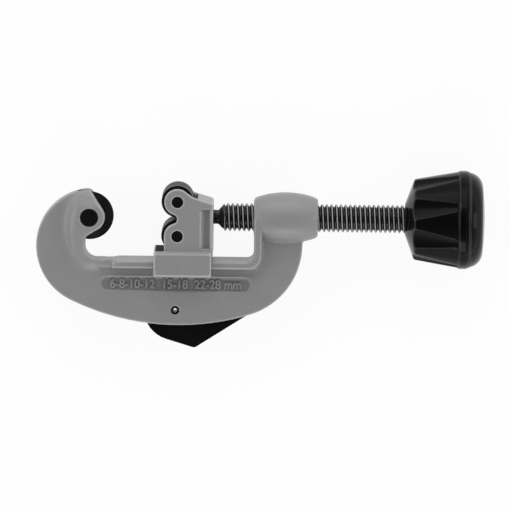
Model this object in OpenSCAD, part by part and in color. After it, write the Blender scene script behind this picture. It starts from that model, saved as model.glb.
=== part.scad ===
// Screw-feed tube cutter with a folding reamer and a spare wheel in its knob.
// It lies on its side: X runs along the feed screw towards the knob, Y points from the
// rail towards the screw, and Z is the axis of the tube that is being cut.
// The origin is the middle of the tube's seat, level with the cutting edge.

/* [Tube and feed] */
// Diameter of the tube that the opening is set to
tube_d = 22; // [4:0.2:28]
// Outside diameter of the feed screw's thread
thread_d = 12; // [10:0.5:13]
// Diameter of the plain neck between the thread and the slide
neck_d = 6; // [5:0.2:8]
// Length of the plain neck that shows behind the slide
neck_len = 2.1; // [1.5:0.1:4]
// Length of the cone that joins the neck to the thread
neck_cone = 2.6; // [2:0.2:5]
// Diameter of the screw's nose, which turns in the slide
nose_d = 4.6; // [4:0.2:5]
// Length of the thread between its cone and the knob
thread_len = 76.5; // [60:0.5:95]

/* [Cutter wheel] */
// Diameter over the cutting edge
wheel_d = 20.5; // [18:0.5:21.5]
// Width of the wheel's hub
hub_w = 4.8; // [4:0.2:5.4]
// Diameter of the wheel's hub
hub_d = 9.4; // [8:0.2:12]
// Width of the wheel's disc beside the hub
disc_w = 2.6; // [1.6:0.2:3.6]
// Length of the bevel that runs out to the edge
bevel_len = 3; // [2:0.2:4]
// Width of the flat left at the cutting edge
edge_w = 0.2; // [0.1:0.05:0.4]
// Diameter of the wheel's axle
axle_d = 5; // [4:0.2:5.6]
// Diameter of the axle's head
axle_head_d = 7.2; // [6.6:0.2:8]
// Thickness of the axle's head
axle_head_t = 2.2; // [1.6:0.2:3]

/* [Frame] */
// Width of the hook and of the rail
frame_w = 18; // [16:0.5:22]
// Thickness of the flank below the rail
flank_t = 8; // [7:0.5:10]
// Distance from the screw's axis down to the top of the rail
rail_drop = 18.2; // [17:0.5:24]
// Height of the rail's flange
rail_t = 3.25; // [2.75:0.25:5]
// Distance from the wheel's axis back to the hook's inner edge
throat_back = 1.8; // [1:0.2:3]
// Distance from the wheel's axis to the front of the post
post_x = 70.1; // [66:0.5:80]
// Length of the post at the barrel
post_len = 20.6; // [18:0.2:24]
// Width of the post's raised flange
post_flange = 3.3; // [2.5:0.1:5]
// Distance from the wheel's axis to the hook's back
hook_back = 22.6; // [20:0.5:25]
// Radius over the top of the hook
crown_r = 24.1; // [20:0.1:26]
// Radius round the back of the hook
back_r = 26; // [23:0.5:30]
// How far the back's centre lies below the wheel's axis
back_drop = 12.6; // [11:0.2:15]
// Radius along the belly
belly_r = 104.4; // [85:1:140]
// Radius round the lower corner under the post
heel_r = 31.6; // [28:0.4:36]
// How far the lower corner's centre lies below the screw's axis
heel_drop = 11.4; // [10:0.2:15]
// Radius of the hook's nose round the axle
nose_r = 5.7; // [5.2:0.1:6.6]
// How far the nose's centre lies in front of the axle
nose_reach = 1; // [0.4:0.2:2]
// Radius of the throat's lower corner
throat_r = 5; // [3:0.5:8]
// Radius of the corner at the post's foot
foot_r = 3; // [2:0.5:5]
// Width of the slot that holds the wheel
wheel_slot_w = 5.2; // [4.6:0.2:6]
// Clear space round the wheel in its slot
wheel_slot_gap = 1.2; // [0.6:0.2:1.6]
// Radius of the back edge of the hook's raised face
hook_face_r = 23.7; // [22:0.1:26]
// Distance from the wheel's axis forward to the centre of that edge
hook_face_x = 15.8; // [14:0.2:17]
// How far the centre of that edge lies below the wheel's axis
hook_face_drop = 4.2; // [3:0.2:6]
// Width of the slope between the flank and the hook's raised face
slope_w = 1.8; // [1:0.2:3]
// Height at which the hook's tip starts to thin
taper_y = 4.6; // [4.2:0.2:7]
// How much each side of the tip has thinned at its top
taper_t = 3.4; // [1:0.2:4]
// How far below the wheel's axis the hook starts to thin towards the rail
web_from = 5; // [4.8:0.2:8]
// How much each side of the hook has thinned where it meets the rail's top
web_thin = 2.8; // [0.6:0.2:3.2]
// Distance from the wheel's axis to where the rail has its full width
rail_from = 9.7; // [7:0.1:14]

/* [Barrel] */
// Diameter of the barrel at its middle
barrel_d = 21.7; // [19:0.5:26]
// Length of the barrel
barrel_len = 27.4; // [24:0.5:34]
// Radius of the barrel's crowned side, seen along the screw
barrel_crown_r = 38; // [30:1:80]
// Radius of the barrel's end corners
barrel_corner_r = 1.8; // [0.8:0.2:2.4]

/* [Marking panel] */
// Length of the sunk panel on each flank
panel_len = 63.7; // [50:0.5:66]
// Height of the sunk panel
panel_h = 6; // [4:0.5:8]
// Depth of the sunk panel
panel_depth = 0.8; // [0.3:0.1:0.9]
// Distance from the wheel's axis to the panel's near end
panel_x = 5.1; // [3:0.5:10]

/* [Slide] */
// Width over the slide's cheeks
cheek_w = 21.6; // [20.5:0.2:24]
// Width over the slide's skirts
skirt_w = 24; // [22.6:0.2:28]
// Width of the space for the rollers
roller_slot_w = 17; // [15:0.5:18]
// Radius of the cheeks round the roller pins
lobe_r = 5.6; // [4.8:0.1:6.2]
// Length of the slide in front of the roller axes
slide_front = 9.9; // [8:0.1:12]
// Length of the slide behind the roller axes
slide_rear = 15.2; // [14:0.1:18]
// Thickness of the slide's rear wall
rear_wall = 6.7; // [5:0.2:7.5]
// Height of the shelf above the rail
shelf_h = 4.4; // [4:0.1:5]
// Height of the skirts' hooks below the rail's flange
hook_h = 3; // [2:0.1:3.2]
// Height of the rear wall's back edge above the screw's axis
rear_top = 6.7; // [5.5:0.1:8]
// Depth of the pocket in each side of the rear wall
pocket_depth = 1.2; // [0.6:0.1:2]

/* [Rollers] */
// Diameter of each roller
roller_d = 13.6; // [12:0.2:14]
// Length of each roller
roller_len = 16.6; // [14:0.2:16.8]
// Space between the two rollers
roller_gap = 1; // [0.6:0.2:2]
// Diameter of the roller pins
roller_pin_d = 4.76; // [4:0.02:5]
// Width of each groove round a roller
groove_w = 1.3; // [0.8:0.1:2]
// Depth of each groove round a roller
groove_depth = 0.8; // [0.4:0.1:1.2]
// Distance of the grooves from the middle of the roller
groove_z = 2.3; // [1.6:0.1:5]

/* [Knob] */
// Diameter over the knob's rim
knob_d = 41.9; // [38:0.5:50]
// Length of the knob and its cap
knob_len = 34.2; // [32:0.2:40]
// Diameter where the knob's tapered grip starts
grip_d = 34.4; // [30:0.2:36]
// Length of the cone in front of the grip
knob_nose = 3.9; // [3:0.1:6]
// Length of the tapered grip
grip_len = 19.1; // [15:0.1:21]
// Length of the plain rim behind the grip
rim_len = 3; // [2:0.1:4]
// Length of the cap's part that shows
cap_len = 6.6; // [5.4:0.1:8]
// Number of flutes round the grip
flutes = 8; // [6:1:10]
// Radius of a flute's hollow where the grip starts
flute_r_front = 12; // [8:0.5:14]
// Radius of a flute's hollow at the rim
flute_r_rim = 3; // [2:0.25:5]
// Depth of a flute where the grip starts
flute_depth_front = 2.5; // [1:0.1:2.8]
// Depth of a flute at the rim
flute_depth_rim = 0.7; // [0.4:0.1:1.2]

/* [Reamer] */
// Distance from the wheel's axis to the reamer's pivot
reamer_x = 36.8; // [32:0.2:42]
// Distance from the screw's axis down to the reamer's pivot
reamer_drop = 39.9; // [39:0.1:41]
// Thickness of the reamer's blade
blade_t = 1.9; // [1.5:0.1:2.2]
// Width of the slot in the frame's belly
blade_slot_w = 2.6; // [2.5:0.1:3]
// Distance from the pivot to the blade's tip
blade_reach = 34; // [28:0.2:35]
// Radius of the blade's heel round the pivot
blade_heel_r = 13.3; // [11:0.1:13.6]
// Distance from the pivot along the blade to its widest point
blade_wide_x = 8.4; // [6:0.2:12]
// Distance of the widest point from the blade's centre line
blade_wide_y = 16.4; // [13.6:0.2:17]
// Angle of the blade's inner cutting edge to its centre line
blade_inner_angle = 20; // [14:1:22]
// Angle that the blade swings out through
blade_swing = 100; // [60:5:110]
// Diameter of the spring pin that the blade turns on
reamer_pin_d = 3.5; // [3:0.1:4]
// Diameter of the hole through the spring pin
reamer_pin_hole = 1.8; // [1.2:0.1:2]

/* [Fits] */
// Radial clearance of a pin that turns in a hole
run_fit = 0.05; // [0.03:0.01:0.08]
// Clearance between the slide and the rail
slide_fit = 0.12; // [0.08:0.01:0.2]
// Radial clearance of parts that are put together by hand
hand_fit = 0.15; // [0.1:0.01:0.25]

/* [Hidden] */

// Curves are drawn with this many sides.
round_sides = 96;
small_sides = 48;
// Every cut runs this far past the face that it leaves.
over = 2;

// Where things stand along X: the tube's axis is at zero.
roller_step = (roller_d + roller_gap) / 2;
wheel_x = -(wheel_d + tube_d) / 2;
roller_x = sqrt(pow((tube_d + roller_d) / 2, 2) - pow(roller_step, 2));

// Colours of the cast parts, the blackened steel and the bright steel.
cast_grey = "#8b8d90";
slide_grey = "#85878a";
black_steel = "#26272a";
bright_steel = "#9fa2a6";
knob_black = "#141416";

// Points along an arc about c from angle a to angle b, in n steps.
function arc(c, r, a, b, n) =
  [for (i = [0 : n]) c + r * [cos(a + (b - a) * i / n), sin(a + (b - a) * i / n)]];

// The unit vector from p to q.
function toward(p, q) = (q - p) / norm(q - p);

// Points of a rounded corner at q, on the way from p to s.
function corner(p, q, s, r, n) =
  let (u = toward(q, p), v = toward(q, s))
  let (half = acos(u * v) / 2)
  let (c = q + (u + v) / norm(u + v) * r / sin(half))
  let (from = q + u * r / tan(half) - c, to = q + v * r / tan(half) - c)
  let (a = atan2(from[1], from[0]), turn = atan2(to[1], to[0]) - a)
  let (sweep = turn > 180 ? turn - 360 : turn < -180 ? turn + 360 : turn)
  [for (i = [0 : n]) c + r * [cos(a + sweep * i / n), sin(a + sweep * i / n)]];

// Where the line through p along u meets the line through q along v.
function meet(p, u, q, v) =
  p + u * ((q[0] - p[0]) * v[1] - (q[1] - p[1]) * v[0]) / (u[0] * v[1] - u[1] * v[0]);

// The centre of a circle of radius r that holds two circles and touches both from inside,
// on the upper side of them.
function holding_centre(c1, r1, c2, r2, r) =
  let (d = norm(c2 - c1), along = toward(c1, c2))
  let (m = (pow(r - r1, 2) - pow(r - r2, 2) + d * d) / (2 * d))
  c1 + along * m + [-along[1], along[0]] * sqrt(pow(r - r1, 2) - m * m);

function angle_of(p) = atan2(p[1], p[0]);

// The frame's outline, measured from the wheel's axis.
crown_c = [crown_r - hook_back, -back_drop];
back_c = [back_r - hook_back, -back_drop];
heel_c = [post_x + post_len - heel_r, -heel_drop];
belly_c = holding_centre(back_c, back_r, heel_c, heel_r, belly_r);
nose_c = [nose_reach, 0];
// The nose's front edge leaves its circle at this angle, and its lower edge at that one.
nose_up = 33;
nose_down = -58;
front_edge = [-sin(nose_up), cos(nose_up)];
lower_edge = [sin(nose_down), -cos(nose_down)];
front_start = nose_c + nose_r * [cos(nose_up), sin(nose_up)];
lower_start = nose_c + nose_r * [cos(nose_down), sin(nose_down)];
crown_end = 96;
crown_last = crown_c + crown_r * [cos(crown_end), sin(crown_end)];
tip = meet(crown_last, [sin(crown_end), -cos(crown_end)], front_start, front_edge);
tip_r = 1.2;
neck = meet(lower_start, lower_edge, [-throat_back, 0], [0, 1]);
neck_r = 3;
throat = [-throat_back, -rail_drop];
foot = [post_x, -rail_drop];
post_top = [post_x, 0];
post_back = [post_x + post_len, 0];
inner_edge = concat(
  corner(crown_last, tip, front_start, tip_r, 6),
  arc(nose_c, nose_r, nose_up, nose_down, 16),
  corner(lower_start, neck, throat, neck_r, 6),
  corner(neck, throat, foot, throat_r, 10),
  corner(throat, foot, post_top, foot_r, 8)
);
belly_from = angle_of(heel_c - belly_c);
belly_to = angle_of(back_c - belly_c);
outline = concat(
  [post_top, post_back],
  arc(heel_c, heel_r, 0, belly_from, 18),
  arc(belly_c, belly_r, belly_from, belly_to, 18),
  arc(back_c, back_r, belly_to, -180, 18),
  arc(crown_c, crown_r, 180, crown_end, 24),
  inner_edge
);

// The edge of the raised hook, rail and post, where the flank is sunk beside them.
hook_face_c = [hook_face_x, -hook_face_drop];
crown_top = crown_r - back_drop;
rail_low = -rail_drop - rail_t;
slope_r = hook_face_r + slope_w;
slope_from = 125;
slope_to = 180 + asin((hook_face_c[1] - rail_low) / slope_r);
slope_top = hook_face_c + slope_r * [cos(slope_from), sin(slope_from)];
rail_corner = [post_x + post_flange, rail_low];
rail_corner_r = foot_r + post_flange * 0.8;
slope_end = hook_face_c + slope_r * [cos(slope_to), sin(slope_to)];
sunk_edge = concat(
  [[slope_top[0], crown_top + slope_r]],
  arc(hook_face_c, slope_r, slope_from, slope_to, 24),
  corner(slope_end, rail_corner, rail_corner + [0, rail_drop], rail_corner_r, 10),
  [rail_corner + [0, rail_drop]]
);
sunk_far = [post_x + post_len + over, -belly_r];
sunk_back = [-hook_back - over, crown_top + slope_r];
sunk_area = concat(
  sunk_edge,
  [[sunk_far[0], 0], sunk_far, [sunk_back[0], sunk_far[1]], sunk_back]
);
sink = (frame_w - flank_t) / 2;

// The strip below the rail that the slide's hooks run in.
run_depth = 0.4;
run_gap = 0.35;
run_h = hook_h + 2 * run_gap;
run_top = rail_low;
run_lead = 6.5;

// The marking panel starts this far below the strip.
panel_gap = 0.5;
panel_top = run_top - run_h - panel_gap;

// The reamer's pivot, and the edge of its blade when it is folded in.
pivot = [reamer_x, -reamer_drop];
blade_tip = [blade_reach, 0];
blade_wide = [blade_wide_x, -blade_wide_y];
inner_dir = [-cos(blade_inner_angle), sin(blade_inner_angle)];
// The inner edge meets the heel's circle where this far along it.
inner_mid = blade_reach * cos(blade_inner_angle);
inner_len = inner_mid - sqrt(pow(blade_heel_r, 2) - pow(blade_reach * sin(blade_inner_angle), 2));
inner_meet = blade_tip + inner_dir * inner_len;
// The heel's outer side leaves its circle along the tangent to the widest point.
wide_far = norm(blade_wide);
heel_leave = angle_of(blade_wide) - acos(blade_heel_r / wide_far);
blade_tip_r = 0.8;
blade_wide_r = 2;
blade_gap = 0.5;
blade_outline = concat(
  arc([0, 0], blade_heel_r, angle_of(inner_meet), heel_leave + 360, 24),
  corner(blade_heel_r * [cos(heel_leave), sin(heel_leave)], blade_wide, blade_tip, blade_wide_r, 5),
  corner(blade_wide, blade_tip, inner_meet, blade_tip_r, 4)
);
// The slot reaches from the inner edge down past the belly.
slot_top = inner_meet + [inner_dir[1], -inner_dir[0]] * blade_gap;
slot_tip = blade_tip + [inner_dir[1], -inner_dir[0]] * blade_gap;
slot_area = [
  [0, 0],
  slot_top,
  [slot_tip[0] + blade_gap, slot_tip[1] - blade_gap / 2],
  [slot_tip[0] + blade_gap, -blade_wide_y],
  [0, -blade_wide_y - over]
];

// The blade's corner sweeps this part of the slot, and the heel's straight side follows it.
swing_from = angle_of(blade_wide);
swing_to = heel_leave - blade_swing;
swing_area = concat(
  [[0, 0]],
  arc([0, 0], wide_far + blade_gap, swing_from, swing_to, 24)
);

// The reamer's washers fill the slot beside the blade, less this gap on each face.
washer_gap = 0.08;
reamer_washer_t = (blade_slot_w - blade_t) / 2 - 2 * washer_gap;
reamer_washer_d = 8;

// The axle's head is sunk in one cheek, and its clip in the other.
axle_proud = 0.2;
head_bed = axle_head_t - axle_proud;
clip_t = 0.8;
clip_ring = 1.7;
clip_bed_d = axle_d + 2 * clip_ring + 1;
clip_bed = 2.2;
clip_back = 0.1;
clip_groove = 0.7;
axle_end = 0.4;

// The slide's sections, measured from the roller axes.
cheek_front = lobe_r - 0.2;
shelf_top = shelf_h - rail_drop;
cheek_foot = shelf_top - shelf_h / 2;
notch_r = (pow(roller_step, 2) - pow(lobe_r, 2)) / (2 * lobe_r);
notch_angle = angle_of([-notch_r, roller_step]);
shoulder_angle = 48;
lobe_top = [0, roller_step];
lobe_low = [0, -roller_step];
shoulder_start = lobe_top + lobe_r * [cos(shoulder_angle), sin(shoulder_angle)];
shoulder_step = [0.9, 2.1];
shoulder = [lobe_r, roller_step] + shoulder_step;
shoulder_r = 4;
rear_edge = [slide_rear, rear_top];
rear_edge_r = 0.8;
cheek_outline = concat(
  [[-cheek_front, cheek_foot]],
  arc(lobe_low, lobe_r, 180, notch_angle, 12),
  arc([-notch_r, 0], notch_r, notch_angle - 180, 180 - notch_angle, 10),
  arc(lobe_top, lobe_r, 360 - notch_angle, shoulder_angle, 26),
  corner(shoulder_start, shoulder, rear_edge, shoulder_r, 6),
  corner(shoulder, rear_edge, [slide_rear, 0], rear_edge_r, 4),
  [[slide_rear, cheek_foot]]
);
skirt_bevel = 1.1;
skirt_rear = slide_rear - 0.6;
// The skirts hang past the rail's flange and hook under it.
guide_top = slide_fit / 2 - rail_drop;
hook_top = run_top - slide_fit;
skirt_low = hook_top - hook_h;
guide_half = frame_w / 2 + slide_fit;
hook_half = flank_t / 2;
skirt_corner = 0.6;
skirt_half_section = [
  [0, guide_top],
  [guide_half, guide_top],
  [guide_half, hook_top],
  [hook_half, hook_top],
  [hook_half, skirt_low],
  [skirt_w / 2 - skirt_corner, skirt_low],
  [skirt_w / 2, skirt_low + skirt_corner],
  [skirt_w / 2, shelf_top - skirt_bevel],
  [skirt_w / 2 - skirt_bevel, shelf_top],
  [0, shelf_top]
];
roller_bed_gap = 0.5;
slot_back = slide_rear - rear_wall;

// The pocket in each side of the rear wall has a sloped front side.
pocket_rim = 1.3;
pocket_slope = 1.3;
pocket_top = 4.4;
pocket_low = shelf_top + 1.2;

// The screw's nose passes through the rear wall to its washer and clip.
nose_washer_t = 1;
nose_washer_d = 9;
nose_clip_d = 8;
nose_end = 0.9;
nose_gap = 0.1;
nose_groove = 0.5;
screw_neck_x = slide_rear + nose_gap;
screw_cone_x = screw_neck_x + neck_len;
thread_x = screw_cone_x + neck_cone;
knob_x = thread_x + thread_len;
nose_washer_x = slot_back - nose_gap - nose_washer_t;
nose_clip_x = nose_washer_x - clip_t;
nose_x = nose_clip_x - nose_end;

// The knob's inside: a hole for the screw's end, then beds for its screw, the spare wheel and the cap.
knob_end = knob_x + knob_len;
cap_x = knob_end - cap_len;
grip_x = knob_x + knob_nose;
rim_x = grip_x + grip_len;
rim_end = rim_x + rim_len;
rim_step = 0.4;
cap_seam_d = knob_d - 1;
cap_plug_len = 3;
cap_plug_d = 28;
cap_plug_wall = 2;
cap_press = 0.3;
spare_bed_gap = 0.3;
spare_x = cap_x - cap_plug_len - hub_w / 2;
spare_bed_x = spare_x - hub_w / 2 - hand_fit;
tang_d = thread_d - 3;
tang_flat = 1.2;
knob_screw_d = 5;
knob_screw_len = 12;
knob_screw_head_d = 9;
knob_screw_head_t = 3;
knob_screw_slot = 1.2;
knob_washer_d = 11.6;
knob_washer_t = 1;
screw_bed_d = knob_washer_d + 2 * hand_fit + 0.4;
screw_bed_x = spare_bed_x - knob_screw_head_t - knob_washer_t - hand_fit;
tang_end = screw_bed_x - hand_fit;
cap_corner_r = 6.7;
cap_crown = 0.9;
crown_share = 0.4;

// A rod along X from x0 to x1.
module rod(x0, x1, d, sides = small_sides) {
  translate([x0, 0, 0])
    rotate([0, 90, 0])
      cylinder(h = x1 - x0, d = d, $fn = sides);
}

// A rod along X whose ends have different diameters.
module cone_rod(x0, x1, d0, d1) {
  translate([x0, 0, 0])
    rotate([0, 90, 0])
      cylinder(h = x1 - x0, d1 = d0, d2 = d1, $fn = round_sides);
}

// A solid of revolution about X from points given as [x, radius].
module turned(points, sides = round_sides) {
  rotate([0, 90, 0])
    rotate_extrude($fn = sides)
      polygon([for (p = points) [p[1], p[0]]]);
}

// A rod along Z, centred on the XY plane.
module post(d, h, sides = small_sides) {
  cylinder(h = h, d = d, center = true, $fn = sides);
}

// Both flanks get the same shape, drawn on the upper one.
module both_sides() {
  children();
  mirror([0, 0, 1])
    children();
}

// A long hole with round ends that starts at x and runs down from y.
module stadium(x, y, len, h) {
  translate([x + h / 2, y - h])
    square([len - h, h]);
  for (end = [x + h / 2, x + len - h / 2])
    translate([end, y - h / 2])
      circle(d = h, $fn = small_sides);
}

// A flat ring that stands on the XY plane.
module ring(d_in, d_out, t) {
  difference() {
    cylinder(h = t, d = d_out, $fn = small_sides);
    translate([0, 0, -over])
      cylinder(h = t + 2 * over, d = d_in, $fn = small_sides);
  }
}

// A spring clip: a ring with a gap on its -X side.
module open_ring(d_in, d_out, t, gap) {
  difference() {
    ring(d_in, d_out, t);
    translate([-d_out, -gap / 2, -over])
      cube([d_out, gap, t + 2 * over]);
  }
}

module barrel_solid() {
  x0 = post_x - hand_fit * 2;
  mid = x0 + barrel_len / 2;
  c = [mid, barrel_d / 2 - barrel_crown_r];
  lift = sqrt(pow(barrel_crown_r, 2) - pow(barrel_len / 2, 2)) + c[1];
  side = asin(barrel_len / 2 / barrel_crown_r);
  left = [x0, lift];
  right = [x0 + barrel_len, lift];
  left_in = c + barrel_crown_r * [cos(90 + side / 2), sin(90 + side / 2)];
  right_in = c + barrel_crown_r * [cos(90 - side / 2), sin(90 - side / 2)];
  turned(concat(
    [[x0, 0]],
    corner([x0, 0], left, left_in, barrel_corner_r, 5),
    arc(c, barrel_crown_r, 90 + side * 0.8, 90 - side * 0.8, 10),
    corner(right_in, right, [x0 + barrel_len, 0], barrel_corner_r, 5),
    [[x0 + barrel_len, 0]]
  ));
}

// What is cut away round the hook's raised face so that it slopes down to the flank.
module hook_slope() {
  side = slope_r + over;
  translate([hook_face_c[0], hook_face_c[1], 0])
    intersection() {
      rotate_extrude($fn = round_sides)
        polygon([
          [hook_face_r, frame_w / 2],
          [slope_r, flank_t / 2],
          [slope_r + over, flank_t / 2],
          [slope_r + over, frame_w / 2 + over],
          [hook_face_r, frame_w / 2 + over]
        ]);
      translate([-side, -side, 0])
        cube([side, 2 * side, frame_w]);
    }
}

// What is cut away so that the hook thins between the wheel's axle and the rail.
module web_slope() {
  run = rail_drop - web_from;
  low = rail_drop + rail_t + over;
  thin = web_thin * (low - web_from) / run;
  translate([-hook_back, 0, 0])
    rotate([90, 0, 90])
      linear_extrude(hook_back + rail_from)
        polygon([
          [-web_from, frame_w / 2],
          [-low, frame_w / 2 - thin],
          [-low, frame_w / 2 + over],
          [-web_from, frame_w / 2 + over]
        ]);
}

// What is cut away over the hook's tip so that it thins towards its top.
module tip_taper() {
  high = crown_r - back_drop;
  run = high - taper_y;
  more = taper_t * over / run;
  translate([-hook_back, 0, 0])
    rotate([90, 0, 90])
      linear_extrude(2 * hook_back)
        polygon([
          [taper_y, frame_w / 2],
          [high + over, frame_w / 2 - taper_t - more],
          [high + over, frame_w / 2 + over],
          [taper_y, frame_w / 2 + over]
        ]);
}

module frame() {
  strip_from = rail_from - run_lead;
  strip_to = post_x + post_flange;
  color(cast_grey)
    translate([wheel_x, 0, 0])
      difference() {
        union() {
          difference() {
            linear_extrude(frame_w, center = true)
              polygon(outline);
            both_sides() {
              translate([0, 0, flank_t / 2])
                linear_extrude(sink + over)
                  polygon(sunk_area);
              hook_slope();
              web_slope();
              tip_taper();
              translate([0, 0, flank_t / 2 - run_depth])
                linear_extrude(run_depth + over / 2)
                  translate([strip_from, run_top - run_h])
                    square([strip_to - strip_from, run_h]);
              translate([0, 0, flank_t / 2 - panel_depth])
                linear_extrude(panel_depth + over)
                  stadium(panel_x, panel_top, panel_len, panel_h);
            }
          }
          barrel_solid();
        }
        rod(post_x - over, post_x + barrel_len + over, thread_d + 2 * run_fit, round_sides);
        post(wheel_d + 2 * wheel_slot_gap, wheel_slot_w, round_sides);
        post(axle_d + 2 * run_fit, frame_w + 2 * over);
        translate([0, 0, frame_w / 2 - head_bed])
          cylinder(h = head_bed + over, d = axle_head_d + 2 * hand_fit, $fn = small_sides);
        translate([0, 0, -frame_w / 2 - over])
          cylinder(h = clip_bed + over, d = clip_bed_d, $fn = small_sides);
        translate([pivot[0], pivot[1], 0]) {
          post(reamer_pin_d, flank_t + 2 * over);
          post(2 * (blade_heel_r + blade_gap), blade_slot_w, round_sides);
          linear_extrude(blade_slot_w, center = true)
            polygon(slot_area);
          linear_extrude(blade_slot_w, center = true)
            polygon(swing_area);
        }
      }
}

// A cutter wheel about Z, centred on its own middle.
module wheel() {
  r = wheel_d / 2;
  difference() {
    rotate_extrude($fn = round_sides)
      polygon([
        [0, -hub_w / 2],
        [hub_d / 2, -hub_w / 2],
        [hub_d / 2, -disc_w / 2],
        [r - bevel_len, -disc_w / 2],
        [r, -edge_w / 2],
        [r, edge_w / 2],
        [r - bevel_len, disc_w / 2],
        [hub_d / 2, disc_w / 2],
        [hub_d / 2, hub_w / 2],
        [0, hub_w / 2]
      ]);
    post(axle_d + 2 * run_fit, hub_w + 2 * over);
  }
}

module cutter_wheel() {
  color(black_steel)
    translate([wheel_x, 0, 0])
      wheel();
}

// The clip's groove lies just inside the far cheek's sunk bed.
clip_z = clip_bed - frame_w / 2 - clip_back - clip_t;

module wheel_axle() {
  head_z = frame_w / 2 - head_bed;
  color(black_steel)
    translate([wheel_x, 0, 0])
      difference() {
        union() {
          translate([0, 0, head_z])
            cylinder(h = axle_head_t, d = axle_head_d, $fn = small_sides);
          translate([0, 0, clip_z - axle_end - clip_t / 2])
            cylinder(h = head_z - clip_z + axle_end + clip_t, d = axle_d, $fn = small_sides);
        }
        translate([0, 0, clip_z])
          ring(axle_d - clip_groove, axle_d + over, clip_t);
      }
}

module axle_clip() {
  shrink = hand_fit / 3;
  color(bright_steel)
    translate([wheel_x, 0, clip_z + shrink])
      open_ring(axle_d - clip_groove + shrink, axle_d + 2 * clip_ring, clip_t - 2 * shrink, axle_d * 0.6);
}

module reamer_blade() {
  color(black_steel)
    translate([wheel_x + pivot[0], pivot[1], 0])
      difference() {
        linear_extrude(blade_t, center = true)
          polygon(blade_outline);
        post(reamer_pin_d + 2 * run_fit, blade_t + 2 * over);
      }
}

module reamer_pin() {
  slit = 0.5;
  color(bright_steel)
    translate([wheel_x + pivot[0], pivot[1], 0])
      difference() {
        post(reamer_pin_d, flank_t);
        post(reamer_pin_hole, flank_t + 2 * over);
        translate([0, -slit / 2, -flank_t / 2 - over])
          cube([reamer_pin_d, slit, flank_t + 2 * over]);
      }
}

module reamer_washers() {
  color(bright_steel)
    translate([wheel_x + pivot[0], pivot[1], 0])
      both_sides()
        translate([0, 0, blade_t / 2 + washer_gap])
          difference() {
            cylinder(h = reamer_washer_t, d = reamer_washer_d, $fn = small_sides);
            translate([0, 0, -over])
              cylinder(h = 3 * over, d = reamer_pin_d + 2 * run_fit, $fn = small_sides);
          }
}

module slide_housing() {
  roller_bed_d = roller_d + 2 * roller_bed_gap;
  pocket_x = slide_rear - pocket_rim;
  pocket_w = rear_wall - pocket_rim - pocket_slope - pocket_rim;
  color(slide_grey)
    translate([roller_x, 0, 0])
      difference() {
        union() {
          linear_extrude(cheek_w, center = true)
            polygon(cheek_outline);
          translate([-slide_front, 0, 0])
            rotate([0, 90, 0])
              linear_extrude(slide_front + skirt_rear)
                polygon(concat(
                  skirt_half_section,
                  [for (i = [len(skirt_half_section) - 2 : -1 : 1])
                    [-skirt_half_section[i][0], skirt_half_section[i][1]]]
                ));
        }
        translate([-slide_front - over, shelf_top, -roller_slot_w / 2])
          cube([slide_front + over + slot_back, rail_drop + 2 * roller_d, roller_slot_w]);
        translate([0, -roller_step, 0])
          post(roller_bed_d, roller_slot_w, round_sides);
        for (y = [-roller_step, roller_step])
          translate([0, y, 0])
            post(roller_pin_d, cheek_w + 2 * over);
        rod(slot_back - over, slide_rear + over, nose_d + 2 * run_fit);
        both_sides()
          translate([0, pocket_top, 0])
            rotate([90, 0, 0])
              linear_extrude(pocket_top - pocket_low)
                polygon([
                  [pocket_x, cheek_w / 2 - pocket_depth],
                  [pocket_x, cheek_w / 2 + over],
                  [pocket_x - pocket_w - pocket_slope, cheek_w / 2 + over],
                  [pocket_x - pocket_w - pocket_slope, cheek_w / 2],
                  [pocket_x - pocket_w, cheek_w / 2 - pocket_depth]
                ]);
      }
}

// A guide roller with two grooves that clear a flared tube end.
module roller(y) {
  r = roller_d / 2;
  bevel = 0.4;
  half = roller_len / 2;
  groove_side = groove_w / 2;
  right_side = [
    [r - groove_depth, groove_z - groove_side + bevel],
    [r - groove_depth, groove_z + groove_side - bevel],
    [r, groove_z + groove_side],
    [r, half - bevel],
    [r - bevel, half],
    [0, half]
  ];
  color(black_steel)
    translate([roller_x, y, 0])
      difference() {
        rotate_extrude($fn = round_sides)
          polygon(concat(
            [for (i = [len(right_side) - 1 : -1 : 0]) [right_side[i][0], -right_side[i][1]]],
            [[r, -groove_z + groove_side], [r, groove_z - groove_side]],
            right_side
          ));
        post(roller_pin_d + 2 * run_fit, roller_len + 2 * over);
      }
}

module roller_pin(y) {
  color(black_steel)
    translate([roller_x, y, 0])
      post(roller_pin_d, cheek_w);
}

module upper_roller() {
  roller(roller_step);
}

module lower_roller() {
  roller(-roller_step);
}

module upper_roller_pin() {
  roller_pin(roller_step);
}

module lower_roller_pin() {
  roller_pin(-roller_step);
}

// The thread's cylinder runs a little way into the knob, and a flat tang carries on from it.
module feed_screw() {
  shoulder_in = knob_nose / 2;
  color(black_steel)
    translate([roller_x, 0, 0])
      difference() {
        union() {
          rod(nose_x, screw_neck_x, nose_d);
          rod(screw_neck_x, screw_cone_x, neck_d);
          cone_rod(screw_cone_x, thread_x, neck_d, thread_d);
          rod(thread_x, knob_x + shoulder_in, thread_d, round_sides);
          difference() {
            rod(knob_x + shoulder_in, tang_end, tang_d);
            tang_flats(knob_x + shoulder_in, tang_end + over, 0);
          }
        }
        translate([nose_clip_x, 0, 0])
          rotate([0, 90, 0])
            ring(nose_d - nose_groove * 2, nose_d + over, clip_t);
        rod(tang_end - knob_screw_len, tang_end + over, knob_screw_d + 2 * run_fit);
      }
}

// The two flats of the tang, cut out between x0 and x1, moved out by gap.
module tang_flats(x0, x1, gap) {
  for (side = [0, 180])
    rotate([side, 0, 0])
      translate([x0, tang_d / 2 - tang_flat + gap, -tang_d])
        cube([x1 - x0, tang_d, 2 * tang_d]);
}

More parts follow.
